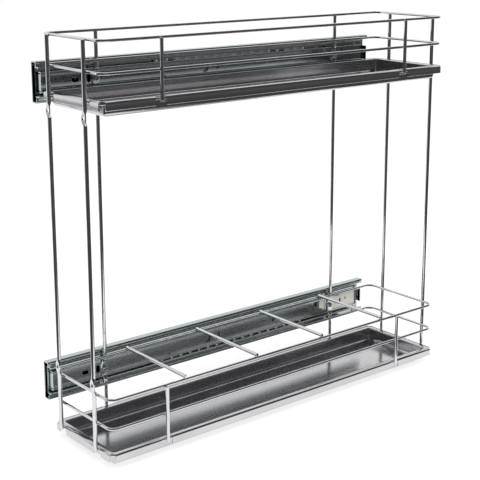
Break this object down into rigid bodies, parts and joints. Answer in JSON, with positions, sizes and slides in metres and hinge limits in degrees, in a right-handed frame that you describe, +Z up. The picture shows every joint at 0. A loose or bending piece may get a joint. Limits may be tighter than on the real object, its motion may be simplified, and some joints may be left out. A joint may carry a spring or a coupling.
{
  "type": "pull-out cabinet basket",
  "caption": "Tall, narrow two-tier basket of chromed wire and sheet trays that pulls out of a kitchen base cabinet on ball-bearing slides, with dividers in the lower tier.",
  "frame": {"origin": "on the cabinet wall plane, at the centre of the four cabinet screw holes of the two slides, basket pushed in", "axes": "-X is the way the basket pulls out, +Y points into the cabinet wall that carries the slides, +Z is up"},
  "size_m": [0.5103, 0.1371, 0.4516],
  "materials": {
    "chrome_wire": "bright chrome plating on round steel wire",
    "tray_sheet": "bright plated sheet steel with a faint brushed grain",
    "slide_zinc": "bright zinc plating with a slight blue-green tint on rolled steel",
    "cage_steel": "plain pressed steel strip",
    "ball_steel": "polished steel balls",
    "cream_plastic": "cream moulded plastic, satin",
    "screw_steel": "bright plated screws"
  },
  "bodies": {
    "cabinet_rails": {"upper_outer_member": "slide_zinc", "lower_outer_member": "slide_zinc"},
    "outer_cages": {"upper_outer_cage": "cage_steel", "lower_outer_cage": "cage_steel", "outer_balls": "ball_steel"},
    "middle_rails": {"upper_middle_member": "slide_zinc", "lower_middle_member": "slide_zinc"},
    "inner_cages": {"upper_inner_cage": "cage_steel", "lower_inner_cage": "cage_steel", "inner_balls": "ball_steel"},
    "basket": {"upper_inner_member": "slide_zinc", "lower_inner_member": "slide_zinc", "soft_close_unit": "cream_plastic", "front_side_rod": "chrome_wire", "rear_side_rod": "chrome_wire", "near_front_rod": "chrome_wire", "far_front_rod": "chrome_wire", "near_rear_rod": "chrome_wire", "far_rear_rod": "chrome_wire", "upper_top_ring": "chrome_wire", "upper_mid_ring": "chrome_wire", "upper_base_ring": "chrome_wire", "upper_tray": "tray_sheet", "lower_top_ring": "chrome_wire", "lower_mid_ring": "chrome_wire", "lower_base_ring": "chrome_wire", "lower_tray": "tray_sheet", "upper_near_posts": "chrome_wire", "lower_near_posts": "chrome_wire", "divider_wires": "chrome_wire", "slide_screws": "screw_steel"}
  },
  "joints": [
    {"name": "middle_slide", "type": "slide", "parent": "cabinet_rails", "child": "middle_rails", "axis": [-1, 0, 0], "range_m": [0, 0.25]},
    {"name": "basket_slide", "type": "slide", "parent": "middle_rails", "child": "basket", "axis": [-1, 0, 0], "range_m": [0, 0.25]},
    {"name": "outer_cage_slide", "type": "slide", "parent": "cabinet_rails", "child": "outer_cages", "axis": [-1, 0, 0], "range_m": [0, 0.125]},
    {"name": "inner_cage_slide", "type": "slide", "parent": "middle_rails", "child": "inner_cages", "axis": [-1, 0, 0], "range_m": [0, 0.125]}
  ],
  "couplings": [
    {"joint": "basket_slide", "follows": "middle_slide", "ratio": 1},
    {"joint": "outer_cage_slide", "follows": "middle_slide", "ratio": 0.5},
    {"joint": "inner_cage_slide", "follows": "middle_slide", "ratio": 0.5}
  ]
}
